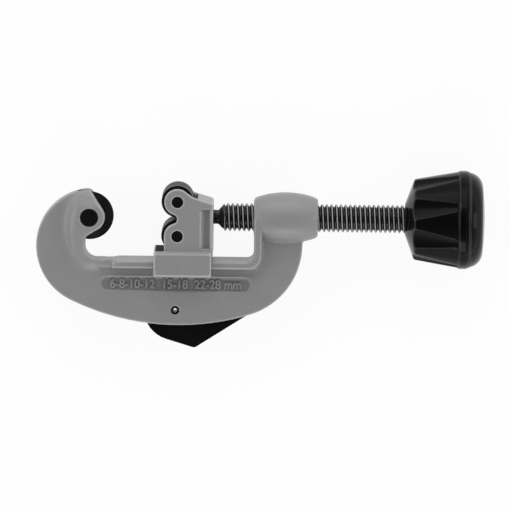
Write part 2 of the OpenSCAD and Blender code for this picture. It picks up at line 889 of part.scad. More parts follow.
module screw_washer() {
  color(bright_steel)
    translate([roller_x, 0, 0])
      difference() {
        rod(nose_washer_x, nose_washer_x + nose_washer_t, nose_washer_d);
        rod(nose_washer_x - over, slot_back + over, nose_d + 2 * run_fit);
      }
}

module screw_clip() {
  shrink = hand_fit / 3;
  color(bright_steel)
    translate([roller_x + nose_clip_x + shrink, 0, 0])
      rotate([0, 90, 0])
        open_ring(nose_d - nose_groove * 2 + shrink, nose_clip_d, clip_t - 2 * shrink, nose_d * 0.6);
}

// The knob's outer profile from its nose to the cap's seam, as [x, radius].
function knob_profile() = [
  [knob_x, 0],
  [knob_x, thread_d / 2 + hand_fit],
  [grip_x, grip_d / 2 - rim_step],
  [grip_x + rim_step, grip_d / 2],
  [rim_x, knob_d / 2 - rim_step],
  [rim_x, knob_d / 2],
  [rim_end, knob_d / 2],
  [cap_x, cap_seam_d / 2],
  [cap_x, 0]
];

// One flute: a leaning cone that is wide and deep where the grip starts, narrow at the rim.
module flute() {
  axis_front = grip_d / 2 - flute_depth_front + flute_r_front;
  axis_rim = knob_d / 2 - rim_step - flute_depth_rim + flute_r_rim;
  lean = atan2(axis_front - axis_rim, grip_len);
  run = (grip_len + knob_nose + over) / cos(lean);
  widen = (flute_r_front - flute_r_rim) / grip_len;
  rise = (axis_front - axis_rim) / grip_len;
  translate([knob_x, 0, axis_front + rise * knob_nose])
    rotate([0, 90 + lean, 0])
      cylinder(
        h = run,
        r1 = flute_r_front + widen * knob_nose,
        r2 = flute_r_rim - widen * over,
        $fn = small_sides
      );
}

module knob_body() {
  color(knob_black)
    translate([roller_x, 0, 0])
      difference() {
        turned(knob_profile());
        intersection() {
          rod(knob_x - over, rim_x, 2 * knob_d);
          for (i = [1 : flutes])
            rotate([(i - 1 / 2) * 360 / flutes, 0, 0])
              flute();
        }
        rod(knob_x - over, knob_x + knob_nose / 2, thread_d + 2 * hand_fit, round_sides);
        difference() {
          rod(knob_x, cap_x, tang_d + 2 * hand_fit);
          tang_flats(knob_x - over, cap_x + over, hand_fit);
        }
        rod(screw_bed_x, cap_x, screw_bed_d);
        rod(spare_bed_x, cap_x, wheel_d + 2 * spare_bed_gap, round_sides);
        rod(cap_x - cap_plug_len, cap_x + over, cap_plug_d, round_sides);
      }
}

module knob_washer() {
  color(bright_steel)
    translate([roller_x, 0, 0])
      difference() {
        rod(screw_bed_x, screw_bed_x + knob_washer_t, knob_washer_d);
        rod(screw_bed_x - over, screw_bed_x + 2 * over, knob_screw_d + 2 * run_fit);
      }
}

// A round-headed screw that clamps the knob on the feed screw's tang.
module knob_screw() {
  head_x = screw_bed_x + knob_washer_t;
  head_end = head_x + knob_screw_head_t;
  slot_depth = knob_screw_head_t / 2;
  color(bright_steel)
    translate([roller_x, 0, 0])
      difference() {
        union() {
          rod(tang_end - knob_screw_len + over / 2, head_x, knob_screw_d);
          turned([
            [head_x, 0],
            [head_x, knob_screw_head_d / 2],
            [head_end - slot_depth / 2, knob_screw_head_d / 2],
            [head_end, knob_screw_head_d / 2 - slot_depth / 2],
            [head_end, 0]
          ], small_sides);
        }
        translate([head_end - slot_depth, -knob_screw_head_d, -knob_screw_slot / 2])
          cube([slot_depth + over, 2 * knob_screw_head_d, knob_screw_slot]);
      }
}

module spare_wheel() {
  color(black_steel)
    translate([roller_x + spare_x, 0, 0])
      rotate([0, 90, 0])
        wheel();
}

// The cap's dome, with a ring behind it that fits the knob and a pad that keeps the wheel still.
module knob_cap() {
  r = cap_seam_d / 2;
  tangent_x = knob_end - cap_crown - cap_corner_r;
  plug_r = cap_plug_d / 2 - hand_fit;
  plug_x = cap_x - cap_plug_len + cap_press;
  color(knob_black)
    translate([roller_x, 0, 0])
      difference() {
        turned(concat(
          [[plug_x, 0], [plug_x, plug_r], [cap_x, plug_r], [cap_x, r]],
          arc([tangent_x, r - hand_fit - cap_corner_r], cap_corner_r, 80, 8, 8),
          [[knob_end - cap_crown * crown_share, r * crown_share], [knob_end, 0]]
        ));
        difference() {
          rod(plug_x - over, cap_x + cap_len / 4, 2 * (plug_r - cap_plug_wall), round_sides);
          rod(plug_x - 2 * over, cap_x + cap_len, hub_d);
        }
      }
}

frame();
cutter_wheel();
wheel_axle();
axle_clip();
reamer_blade();
reamer_pin();
reamer_washers();
slide_housing();
upper_roller();
lower_roller();
upper_roller_pin();
lower_roller_pin();
feed_screw();
screw_washer();
screw_clip();
knob_body();
knob_washer();
knob_screw();
spare_wheel();
knob_cap();
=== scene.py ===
import math

import bpy
from mathutils import Matrix, Vector


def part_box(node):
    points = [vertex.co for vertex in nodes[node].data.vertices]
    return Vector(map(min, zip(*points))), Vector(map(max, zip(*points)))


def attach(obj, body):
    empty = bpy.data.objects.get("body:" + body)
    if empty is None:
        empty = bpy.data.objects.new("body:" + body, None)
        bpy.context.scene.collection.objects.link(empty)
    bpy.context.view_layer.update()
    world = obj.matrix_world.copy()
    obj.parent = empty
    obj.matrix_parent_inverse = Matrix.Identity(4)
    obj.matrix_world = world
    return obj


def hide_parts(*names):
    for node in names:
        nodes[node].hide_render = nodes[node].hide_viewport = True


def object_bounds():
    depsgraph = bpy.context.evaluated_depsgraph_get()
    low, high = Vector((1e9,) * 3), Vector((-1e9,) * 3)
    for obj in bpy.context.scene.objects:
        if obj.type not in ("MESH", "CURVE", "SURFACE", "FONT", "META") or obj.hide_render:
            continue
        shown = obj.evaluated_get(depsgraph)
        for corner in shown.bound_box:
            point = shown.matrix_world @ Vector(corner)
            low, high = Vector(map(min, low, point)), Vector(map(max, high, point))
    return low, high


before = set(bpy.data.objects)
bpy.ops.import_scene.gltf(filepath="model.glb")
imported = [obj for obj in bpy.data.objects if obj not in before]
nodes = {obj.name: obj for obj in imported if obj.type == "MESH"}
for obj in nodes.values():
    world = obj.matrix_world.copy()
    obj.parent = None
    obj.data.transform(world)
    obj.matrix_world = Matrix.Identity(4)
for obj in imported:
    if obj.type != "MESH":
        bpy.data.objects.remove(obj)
boxLow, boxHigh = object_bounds()
print("frame loaded:", len(nodes), "nodes")

mm = 0.001
far = math.inf  # the open end of a range


# small helpers for picking things and finishing meshes

def deselectAll():
    if bpy.context.object and bpy.context.object.mode != "OBJECT":
        bpy.ops.object.mode_set(mode="OBJECT")
    bpy.ops.object.select_all(action="DESELECT")


def pick(obj):
    deselectAll()
    obj.select_set(True)
    bpy.context.view_layer.objects.active = obj


def addModifier(obj, name, kind, **settings):
    modifier = obj.modifiers.new(name, kind)
    for setting, value in settings.items():
        setattr(modifier, setting, value)


def applyModifiers(obj):
    pick(obj)
    for modifier in list(obj.modifiers):
        bpy.ops.object.modifier_apply(modifier=modifier.name)


def editWhole(obj, tool, **settings):
    # one edit-mode tool, used on the whole mesh
    pick(obj)
    bpy.ops.object.mode_set(mode="EDIT")
    bpy.ops.mesh.select_all(action="SELECT")
    tool(**settings)
    bpy.ops.object.mode_set(mode="OBJECT")


def mergeMesh(obj, distance=0.002):
    editWhole(obj, bpy.ops.mesh.remove_doubles, threshold=distance * mm)


def outwards(obj):
    editWhole(obj, bpy.ops.mesh.normals_make_consistent, inside=False)


def settle(obj):
    pick(obj)
    bpy.ops.object.transform_apply(location=True, rotation=True, scale=True)


def smooth(obj, angle):
    pick(obj)
    bpy.ops.object.shade_smooth_by_angle(angle=math.radians(angle))


def selectVerts(obj, test):
    # leaves the object in edit mode with the vertices that pass the test selected
    pick(obj)
    bpy.ops.object.mode_set(mode="EDIT")
    bpy.ops.mesh.select_mode(type="VERT")
    bpy.ops.mesh.select_all(action="DESELECT")
    bpy.ops.object.mode_set(mode="OBJECT")
    for v in obj.data.vertices:
        v.select = test(v.co)
    bpy.ops.object.mode_set(mode="EDIT")


def copyOfNode(node, name):
    obj = nodes[node].copy()
    obj.data = nodes[node].data.copy()
    obj.name = name
    obj.data.name = name
    bpy.context.collection.objects.link(obj)
    mergeMesh(obj)
    return obj


def markTurns(obj, spread, leastSquare=1e-14):
    # how sharply the skin turns at each point, per millimetre, kept with the mesh for its finish;
    # the least square length keeps a loose point from dividing by nothing
    mesh = obj.data
    places = [v.co.copy() for v in mesh.vertices]
    normals = [v.normal.copy() for v in mesh.vertices]
    pairs = [tuple(e.vertices) for e in mesh.edges]
    bend, size, count = ([0.0] * len(places) for _ in range(3))
    for a, b in pairs:
        step = places[b] - places[a]
        turned, square = (normals[b] - normals[a]).dot(step), step.length_squared
        for end in (a, b):
            bend[end] += turned
            size[end] += square
            count[end] += 1
    turns = [mm * t / max(s, leastSquare) for t, s in zip(bend, size)]
    for _ in range(spread):
        total = list(turns)
        for a, b in pairs:
            total[a] += turns[b]
            total[b] += turns[a]
        turns = [t / (c + 1) for t, c in zip(total, count)]
    mesh.attributes.new("edgeTurn", "FLOAT", "POINT").data.foreach_set("value", turns)


def inRanges(place, ranges):
    return all(low < value < high for value, (low, high) in zip(place, ranges))


def isSoftened(point, step, places):
    # whether a smoothing step takes in a point, by its x, its y and its distance from the middle plane
    place = (point.x / mm, point.y / mm, abs(point.z) / mm)
    ring = step.get("ring")
    if ring and not ring["inner"] < math.dist(place[:2], ring["centre"]) < ring["outer"]:
        return False
    if "within" in step and not inRanges(place, places[step["within"]]):
        return False
    return not any(inRanges(place, places[name]) for name in step.get("without", ()))


def softSkin(node, name, body, look):
    # a copy of a cast or moulded node with its corners softened, which is shown in its place
    obj = copyOfNode(node, name)
    addModifier(obj, "evenSkin", "REMESH", mode="VOXEL", voxel_size=look["voxel"] * mm)
    applyModifiers(obj)
    places = look.get("places", {})
    for number, step in enumerate(look["soften"]):
        group = obj.vertex_groups.new(name="soften" + str(number))
        chosen = [v.index for v in obj.data.vertices if isSoftened(v.co, step, places)]
        group.add(chosen, 1.0, "REPLACE")
        addModifier(obj, "softCorners", "SMOOTH", iterations=step["rounds"], vertex_group=group.name)
    applyModifiers(obj)
    outwards(obj)
    smooth(obj, look["smoothAngle"])
    markTurns(obj, look["spread"])
    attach(obj, body)
    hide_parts(node)
    return obj


def roundedCopy(node, name, body, look):
    # a copy of a turned node with narrow rounds along its edges, which is shown in its place
    obj = copyOfNode(node, name)
    editWhole(obj, bpy.ops.mesh.dissolve_limited, angle_limit=math.radians(look["flatAngle"]))
    addModifier(
        obj, "edgeRounds", "BEVEL", width=look["edgeRadius"] * mm, segments=look["segments"],
        limit_method="ANGLE", angle_limit=math.radians(look["cornerAngle"]), harden_normals=True,
    )
    applyModifiers(obj)
    smooth(obj, look["smoothAngle"])
    addModifier(obj, "evenShade", "WEIGHTED_NORMAL", keep_sharp=True)
    applyModifiers(obj)
    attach(obj, body)
    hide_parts(node)


# node groups that several finishes share

def addNode(tree, kind, values=None, **settings):
    # a node with its settings, and the values of its sockets by their labels or numbers
    node = tree.nodes.new(kind)
    for setting, value in settings.items():
        setattr(node, setting, value)
    for label, value in (values or {}).items():
        node.inputs[label].default_value = value
    return node


def makeGroup(name, inputs, outputs):
    # the inputs are given with the values they start from, and every output is a plain number
    group = bpy.data.node_groups.new(name, "ShaderNodeTree")
    for label, value in inputs.items():
        kind = "NodeSocketVector" if isinstance(value, tuple) else "NodeSocketFloat"
        group.interface.new_socket(label, in_out="INPUT", socket_type=kind).default_value = value
    for label in outputs:
        group.interface.new_socket(label, in_out="OUTPUT", socket_type="NodeSocketFloat")
    return group, addNode(group, "NodeGroupInput"), addNode(group, "NodeGroupOutput")


def buildGrainGroup():
    # fine unevenness of a surface: a height for bump and a mask for colour and roughness
    group, start, end = makeGroup(
        "surfaceGrain", {"Scale": 900.0, "Blotch Scale": 60.0, "Blotch Amount": 0.5}, ["Height", "Mask"],
    )
    link = group.links.new
    coord = addNode(group, "ShaderNodeTexCoord")
    fine = addNode(group, "ShaderNodeTexNoise", {"Detail": 3})
    blotch = addNode(group, "ShaderNodeTexNoise", {"Detail": 4})
    link(coord.outputs["Object"], fine.inputs["Vector"])
    link(coord.outputs["Object"], blotch.inputs["Vector"])
    link(start.outputs["Scale"], fine.inputs["Scale"])
    link(start.outputs["Blotch Scale"], blotch.inputs["Scale"])
    mix = addNode(group, "ShaderNodeMix")
    link(start.outputs["Blotch Amount"], mix.inputs["Factor"])
    link(fine.outputs["Fac"], mix.inputs["A"])
    link(blotch.outputs["Fac"], mix.inputs["B"])
    link(fine.outputs["Fac"], end.inputs["Height"])
    link(mix.outputs["Result"], end.inputs["Mask"])
    return group


def buildEdgeGroup():
    # Mask rises where the surface turns outwards, for a painted highlight along edges, and Hollow where it
    # turns inwards, for painted shade in hollows
    group, start, end = makeGroup(
        "rubbedEdges",
        {
            "Turn": 0.0, "Low": 0.1, "High": 0.45, "Hollow Low": -0.4, "Hollow High": -0.1,
            "Breakup": 0.3, "Breakup Scale": 220.0,
        },
        ["Mask", "Hollow"],
    )
    link = group.links.new
    ramp = addNode(group, "ShaderNodeMapRange")
    link(start.outputs["Turn"], ramp.inputs["Value"])
    link(start.outputs["Low"], ramp.inputs["From Min"])
    link(start.outputs["High"], ramp.inputs["From Max"])
    coord = addNode(group, "ShaderNodeTexCoord")
    noise = addNode(group, "ShaderNodeTexNoise")
    link(coord.outputs["Object"], noise.inputs["Vector"])
    link(start.outputs["Breakup Scale"], noise.inputs["Scale"])
    less = addNode(group, "ShaderNodeMath", operation="MULTIPLY")
    link(noise.outputs["Fac"], less.inputs[0])
    link(start.outputs["Breakup"], less.inputs[1])
    keep = addNode(group, "ShaderNodeMath", operation="SUBTRACT", use_clamp=True)
    link(ramp.outputs["Result"], keep.inputs[0])
    link(less.outputs["Value"], keep.inputs[1])
    link(keep.outputs["Value"], end.inputs["Mask"])
    sink = addNode(group, "ShaderNodeMapRange", {"To Min": 1.0, "To Max": 0.0})
    link(start.outputs["Turn"], sink.inputs["Value"])
    link(start.outputs["Hollow Low"], sink.inputs["From Min"])
    link(start.outputs["Hollow High"], sink.inputs["From Max"])
    link(sink.outputs["Result"], end.inputs["Hollow"])
    return group


def buildTurnedGroup():
    # distance from an axis, and fine rings about it, as a lathe leaves them
    group, start, end = makeGroup(
        "turnedRings", {"Centre": (0, 0, 0), "Across": (1, 1, 0), "Ring Scale": 4000.0}, ["Radius", "Rings"],
    )
    link = group.links.new
    coord = addNode(group, "ShaderNodeTexCoord")
    away = addNode(group, "ShaderNodeVectorMath", operation="SUBTRACT")
    link(coord.outputs["Object"], away.inputs[0])
    link(start.outputs["Centre"], away.inputs[1])
    flat = addNode(group, "ShaderNodeVectorMath", operation="MULTIPLY")
    link(away.outputs["Vector"], flat.inputs[0])
    link(start.outputs["Across"], flat.inputs[1])
    radius = addNode(group, "ShaderNodeVectorMath", operation="LENGTH")
    link(flat.outputs["Vector"], radius.inputs[0])
    rings = addNode(group, "ShaderNodeTexNoise", {"Detail": 2}, noise_dimensions="1D")
    link(radius.outputs["Value"], rings.inputs["W"])
    link(start.outputs["Ring Scale"], rings.inputs["Scale"])
    link(radius.outputs["Value"], end.inputs["Radius"])
    link(rings.outputs["Fac"], end.inputs["Rings"])
    return group


def buildPocketGroup():
    # one on the floor of a pocket that is sunk in both sides, nothing outside it
    group, start, end = makeGroup(
        "sunkPocket", {"Low": (0, 0, 0), "High": (1, 1, 1), "Floor": 0.0032, "Rim": 0.0038}, ["Mask"],
    )
    link = group.links.new
    coord = addNode(group, "ShaderNodeTexCoord")
    place, low, high = (addNode(group, "ShaderNodeSeparateXYZ") for _ in range(3))
    link(coord.outputs["Object"], place.inputs["Vector"])
    link(start.outputs["Low"], low.inputs["Vector"])
    link(start.outputs["High"], high.inputs["Vector"])
    out = addNode(group, "ShaderNodeMath", operation="ABSOLUTE")
    link(place.outputs["Z"], out.inputs[0])
    depth = addNode(group, "ShaderNodeMapRange", {"To Min": 1.0, "To Max": 0.0})
    link(out.outputs["Value"], depth.inputs["Value"])
    link(start.outputs["Floor"], depth.inputs["From Min"])
    link(start.outputs["Rim"], depth.inputs["From Max"])
    result = depth.outputs["Result"]
    for axis in ("X", "Y"):
        for bigger, smaller in ((place, low), (high, place)):
            test = addNode(group, "ShaderNodeMath", operation="GREATER_THAN")
            link(bigger.outputs[axis], test.inputs[0])
            link(smaller.outputs[axis], test.inputs[1])
            both = addNode(group, "ShaderNodeMath", operation="MULTIPLY")
            link(result, both.inputs[0])
            link(test.outputs["Value"], both.inputs[1])
            result = both.outputs["Value"]
    link(result, end.inputs["Mask"])
    return group


grainGroup = buildGrainGroup()
edgeGroup = buildEdgeGroup()
turnedGroup = buildTurnedGroup()
pocketGroup = buildPocketGroup()
print("shared node groups built")


def layOver(tree, under, value, mask):
    # a plain colour or number laid over what is under it, by a mask
    if isinstance(value, tuple):
        mix = addNode(tree, "ShaderNodeMix", {"B": (*value, 1)}, data_type="RGBA")
    else:
        mix = addNode(tree, "ShaderNodeMix", {"B": value})
    tree.links.new(mask, mix.inputs["Factor"])
    tree.links.new(under, mix.inputs["A"])
    return mix.outputs["Result"]


def makeFinish(name, look):
    # a mottled base colour with pocket colours, a painted highlight on crests and edges and painted shade in
    # hollows laid over it, and a fine bump
    mat = bpy.data.materials.new(name)
    mat.use_nodes = True
    tree = mat.node_tree
    link = tree.links.new
    tree.nodes.clear()
    out = addNode(tree, "ShaderNodeOutputMaterial")
    shader = addNode(tree, "ShaderNodeBsdfPrincipled", {
        "Metallic": look["metallic"], "Specular IOR Level": look["specular"],
    })
    link(shader.outputs["BSDF"], out.inputs["Surface"])
    grain = addNode(tree, "ShaderNodeGroup", look["grain"], node_tree=grainGroup)
    height = grain.outputs["Height"]
    tones = {"A": (*look["dark"], 1), "B": (*look["light"], 1)}
    tone = addNode(tree, "ShaderNodeMix", tones, data_type="RGBA")
    link(grain.outputs["Mask"], tone.inputs["Factor"])
    colour = tone.outputs["Result"]
    smoothest, roughest = look["roughness"]
    rough = addNode(tree, "ShaderNodeMapRange", {"To Min": smoothest, "To Max": roughest})
    link(grain.outputs["Mask"], rough.inputs["Value"])
    roughness = rough.outputs["Result"]
    for sunk in look.get("pockets", ()):
        pocket = addNode(tree, "ShaderNodeGroup", sunk["place"], node_tree=pocketGroup)
        colour = layOver(tree, colour, sunk["colour"], pocket.outputs["Mask"])
        roughness = layOver(tree, roughness, sunk["roughness"], pocket.outputs["Mask"])
    if "rings" in look:
        turned = addNode(tree, "ShaderNodeGroup", look["rings"], node_tree=turnedGroup)
        height = turned.outputs["Rings"]
        if "crest" in look:
            starts, full = look["crestRadius"]
            crest = addNode(tree, "ShaderNodeMapRange", {"From Min": starts * mm, "From Max": full * mm})
            link(turned.outputs["Radius"], crest.inputs["Value"])
            colour = layOver(tree, colour, look["crest"], crest.outputs["Result"])
    # edges get a painted highlight and hollows painted shade
    if "edge" in look:
        edges = addNode(tree, "ShaderNodeGroup", look["turnRange"], node_tree=edgeGroup)
        turn = addNode(tree, "ShaderNodeAttribute", attribute_name="edgeTurn")
        link(turn.outputs["Fac"], edges.inputs["Turn"])
        colour = layOver(tree, colour, look["edge"], edges.outputs["Mask"])
        if "hollow" in look:
            colour = layOver(tree, colour, look["hollow"], edges.outputs["Hollow"])
    link(colour, shader.inputs["Base Color"])
    link(roughness, shader.inputs["Roughness"])
    bump = addNode(tree, "ShaderNodeBump", {"Strength": look["bump"], "Distance": look["bumpDepth"] * mm})
    link(height, bump.inputs["Height"])
    link(bump.outputs["Normal"], shader.inputs["Normal"])
    return mat


# grey cast alloy, with a painted highlight along its edges and painted shade in its hollows and on the
# floors of its pockets, whose places are in metres; the slide's painted edge highlight is paler than the
# frame's
plainCastLook = {
    "dark": (0.186, 0.187, 0.189), "light": (0.258, 0.259, 0.261),
    "grain": {"Scale": 1700, "Blotch Scale": 90, "Blotch Amount": 0.4},
    "roughness": (0.33, 0.45), "metallic": 0.0, "specular": 0.5, "bump": 0.35, "bumpDepth": 0.08,
}
castLook = dict(
    plainCastLook,
    # edge is a painted highlight on convex edges, hollow is painted shade in concave corners
    edge=(0.35, 0.35, 0.352), hollow=(0.16, 0.16, 0.162),
    turnRange={"Low": 0.16, "High": 0.62, "Breakup": 0.1, "Hollow Low": -0.5, "Hollow High": -0.12},
    pockets=[{  # the marking panel, whose floor is darkened as painted shade
        "place": {"Low": (-0.0175, -0.0325, 0), "High": (0.049, -0.0250, 0), "Floor": 0.0032, "Rim": 0.0039},
        "colour": (0.160, 0.161, 0.163), "roughness": 0.42,
    }],
)
slideLook = dict(
    castLook,
    # a paler painted highlight along the slide's edges
    edge=(0.37, 0.37, 0.372), turnRange=dict(castLook["turnRange"], Low=0.09, High=0.42),
    pockets=[
        {  # the pocket in the rear wall, whose floor is darkened as painted shade
            "place": {
                "Low": (0.0273, -0.013, 0), "High": (0.0305, 0.0057, 0), "Floor": 0.0099, "Rim": 0.0107,
            },
            "colour": (0.150, 0.151, 0.153), "roughness": 0.42,
        },
        {  # the shelf before and under the rollers, coloured near black and dull
            "place": {
                "Low": (0.0066, -0.0150, 0), "High": (0.0255, -0.0133, 0), "Floor": 0.0099, "Rim": 0.0106,
            },
            "colour": (0.012, 0.012, 0.0125), "roughness": 1.0,
        },
    ],
)
# blackened steel, and the reamer's blade a little darker
blackSteelLook = {
    "dark": (0.002, 0.002, 0.0022), "light": (0.006, 0.006, 0.0064),
    "grain": {"Scale": 3000, "Blotch Scale": 240, "Blotch Amount": 0.5},
    "roughness": (0.30, 0.42), "metallic": 0.0, "specular": 0.09, "bump": 0.2, "bumpDepth": 0.03,
}
bladeLook = dict(blackSteelLook, dark=(0.0015, 0.0015, 0.0017), light=(0.004, 0.004, 0.0043))
# the oiled feed screw, turned about x
screwLook = {
    "dark": (0.004, 0.004, 0.0043), "light": (0.014, 0.014, 0.0147),
    "grain": {"Scale": 2400, "Blotch Scale": 300, "Blotch Amount": 0.5},
    "roughness": (0.2, 0.32), "metallic": 0.0, "specular": 0.35, "bump": 0.12, "bumpDepth": 0.03,
    "rings": {"Centre": (0, 0, 0), "Across": (0, 1, 1), "Ring Scale": 2500.0},
    "crest": (0.32, 0.32, 0.32), "crestRadius": (5.9, 6.0),  # its crests are lightened as a painted highlight
}
# plain bright steel of the clips, washers and knob screw
springSteelLook = {
    "dark": (0.30, 0.30, 0.30), "light": (0.44, 0.44, 0.44),
    "grain": {"Scale": 2400, "Blotch Scale": 300, "Blotch Amount": 0.5},
    "roughness": (0.22, 0.35), "metallic": 1.0, "specular": 0.5, "bump": 0.15, "bumpDepth": 0.03,
}
# black moulded plastic with a painted highlight along its edges, whose cap shines more than the knob
knobLook = {
    "dark": (0.0012, 0.0012, 0.0013), "light": (0.0028, 0.0028, 0.003),
    "grain": {"Scale": 1400, "Blotch Scale": 120, "Blotch Amount": 0.6},
    "edge": (0.045, 0.045, 0.046), "turnRange": {"Low": 0.12, "High": 0.6, "Breakup": 0.1},
    "roughness": (0.10, 0.16), "metallic": 0.0, "specular": 0.08, "bump": 0.05, "bumpDepth": 0.02,
}
capLook = dict(knobLook, specular=0.14)
nodeShadeAngle = 30


def turnedSteel(node, ringScale=3500.0):
    # black steel with a lathe's rings about the node's own axis
    low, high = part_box(node)
    rings = {"Centre": (low + high) / 2, "Across": (1, 1, 0), "Ring Scale": ringScale}
    return dict(blackSteelLook, rings=rings)


# each finish by name, with its look and the nodes that are made of it
finishes = {
    "greyCasting": (castLook, ["frame"]),
    "greySlideCasting": (slideLook, ["slide_housing"]),
    "blackenedSteel": (
        blackSteelLook, ["wheel_axle", "reamer_pin", "upper_roller_pin", "lower_roller_pin", "spare_wheel"],
    ),
    "blackWheelSteel": (turnedSteel("cutter_wheel"), ["cutter_wheel"]),
    "upperRollerSteel": (turnedSteel("upper_roller"), ["upper_roller"]),
    "lowerRollerSteel": (turnedSteel("lower_roller"), ["lower_roller"]),
    "blackOxideBlade": (bladeLook, ["reamer_blade"]),
    "oiledScrewSteel": (screwLook, ["feed_screw"]),
    "plainSpringSteel": (
        springSteelLook,
        ["axle_clip", "reamer_washers", "screw_washer", "screw_clip", "knob_washer", "knob_screw"],
    ),
    "glossyKnobPlastic": (knobLook, ["knob_body"]),
    "glossyCapPlastic": (capLook, ["knob_cap"]),
}
for name, (look, finished) in finishes.items():
    finish = makeFinish(name, look)
    for node in finished:
        nodes[node].data.materials.clear()
        nodes[node].data.materials.append(finish)
        smooth(nodes[node], nodeShadeAngle)
print("finishes made:", len(finishes), "for", len(nodes), "nodes")

# the two castings, with the soft corners of sand-blasted alloy; their places are ranges in millimetres,
# along x, along y and away from the middle plane
frameSkinLook = {
    "voxel": 0.43, "smoothAngle": 40, "spread": 1,
    "places": {
        "hookSlope": ((-far, -12.0), (-24.0, 12.5), (3.6, far)),
        "railStart": ((-14.5, -9.0), (-21.0, -17.4), (4.9, far)),
        "underRail": ((-20.0, 53.0), (-25.4, -21.7), (3.0, 4.4)),
        "underRailMiddle": ((-13.5, 45.5),),
        "upToBarrel": ((-far, 70.5),),
        "railSide": ((-17.0, far), (-23.0, -17.4), (4.8, far)),
        "rail": ((-17.0, 46.0), (-23.0, -17.4)),
        "axleBed": ((-26.5, -16.0), (-5.3, 5.3)),
        "panel": ((-18.0, 49.5), (-32.8, -24.6)),
        "pinHole": ((12.0, 20.0), (-43.0, -36.0)),
        "barrelFoot": ((50.0, 74.0), (-13.0, -2.0)),
    },
    "soften": [
        # the slope behind the hook's raised face fades into the flank
        {
            "rounds": 170, "within": "hookSlope",
            "ring": {"centre": (-5.45, -4.2), "inner": 20.5, "outer": 31.0},
        },
        # so do the step where the rail starts and both ends of the strip under the rail
        {"rounds": 60, "within": "railStart"},
        {"rounds": 30, "within": "underRail", "without": ["underRailMiddle"]},
        # every corner up to the barrel is rounded, but these places stay crisp
        {
            "rounds": 12, "within": "upToBarrel",
            "without": ["axleBed", "panel", "pinHole", "rail", "barrelFoot"],
        },
        {"rounds": 3, "within": "railSide"},
        # the rest only loses the small steps that the remesh leaves
        {"rounds": 1, "without": ["panel"]},
        {"rounds": 1},
    ],
}
slideSkinLook = {
    "voxel": 0.3, "smoothAngle": 40, "spread": 1,
    "places": {"rearPocket": ((25.2, 30.9), (-13.5, 6.0))},
    "soften": [{"rounds": 8, "without": ["rearPocket"]}, {"rounds": 1}],
}
frameSkin = softSkin("frame", "frameCasting", "frame", frameSkinLook)
slideSkin = softSkin("slide_housing", "slideCasting", "slide", slideSkinLook)
print("castings softened:", len(frameSkin.data.polygons), len(slideSkin.data.polygons), "faces")

# the knob's shell and cap, moulded with narrow rounds along their edges
knobSkinLook = {"voxel": 0.33, "smoothAngle": 60, "spread": 1, "soften": [{"rounds": 2}]}
knobShell = softSkin("knob_body", "knobShell", "screw", knobSkinLook)
knobCap = softSkin("knob_cap", "knobCap", "cap", knobSkinLook)
print("knob rounded:", len(knobShell.data.polygons), len(knobCap.data.polygons), "faces")

# turned steel pieces, with their corners broken: each node with its piece's name and body
turnedLook = {"edgeRadius": 0.22, "segments": 2, "cornerAngle": 28, "flatAngle": 0.4, "smoothAngle": 50}
turnedPieces = {
    "wheel_axle": ("wheelAxle", "frame"),
    "upper_roller": ("upperRoller", "upper_roller"),
    "lower_roller": ("lowerRoller", "lower_roller"),
    "upper_roller_pin": ("upperRollerPin", "slide"),
    "lower_roller_pin": ("lowerRollerPin", "slide"),
}
for node, (name, body) in turnedPieces.items():
    roundedCopy(node, name, body, turnedLook)
print("turned pieces rounded:", len(turnedPieces))

# the feed screw's thread: one groove swept round the screw and cut into a copy of it
threadLook = {
    "pitch": 2.0, "rootRadius": 4.85, "rootWidth": 0.3, "outerRadius": 6.25, "flankSpread": 1.155,
    "steps": 30, "gapBeforeNeck": 0.1, "neckLength": 2.1, "intoKnob": 1.4, "smoothAngle": 30,
}


def buildGroove(look):
    # a closed helical bar, wider outside than at its root, from the screw's neck into the knob
    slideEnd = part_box("slide_housing")[1].x / mm
    start = slideEnd + look["gapBeforeNeck"] + look["neckLength"] - look["pitch"] / 2
    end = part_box("knob_body")[0].x / mm + look["intoKnob"]
    depth = look["outerRadius"] - look["rootRadius"]
    middle = (look["outerRadius"] + look["rootRadius"]) / 2
    deselectAll()
    bpy.ops.mesh.primitive_plane_add(size=depth * mm, location=(start * mm, middle * mm, 0))
    groove = bpy.context.object
    settle(groove)
    outerWidth = look["rootWidth"] + look["flankSpread"] * depth
    for width, side in ((look["rootWidth"], -1), (outerWidth, 1)):
        selectVerts(groove, lambda co: (co.y - middle * mm) * side > 0)
        bpy.ops.transform.resize(value=(width / depth, 1, 1), center_override=(start * mm, middle * mm, 0))
        bpy.ops.object.mode_set(mode="OBJECT")
    editWhole(groove, bpy.ops.mesh.delete, type="ONLY_FACE")
    addModifier(
        groove, "helix", "SCREW", axis="X", angle=math.tau, screw_offset=look["pitch"] * mm,
        iterations=math.ceil((end - start) / look["pitch"]), steps=look["steps"], render_steps=look["steps"],
        use_smooth_shade=False,
    )
    applyModifiers(groove)
    pick(groove)
    bpy.ops.object.mode_set(mode="EDIT")
    bpy.ops.mesh.select_mode(type="EDGE")
    bpy.ops.mesh.select_all(action="DESELECT")
    bpy.ops.mesh.select_non_manifold()
    bpy.ops.mesh.edge_face_add()
    bpy.ops.object.mode_set(mode="OBJECT")
    outwards(groove)
    return groove


def buildThread(look):
    groove = buildGroove(look)
    obj = copyOfNode("feed_screw", "threadedScrew")
    addModifier(obj, "cutThread", "BOOLEAN", operation="DIFFERENCE", solver="EXACT", object=groove)
    applyModifiers(obj)
    bpy.data.objects.remove(groove)
    smooth(obj, look["smoothAngle"])
    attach(obj, "screw")
    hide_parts("feed_screw")
    return obj


threadedScrew = buildThread(threadLook)
print("thread cut:", len(threadedScrew.data.polygons), "faces")

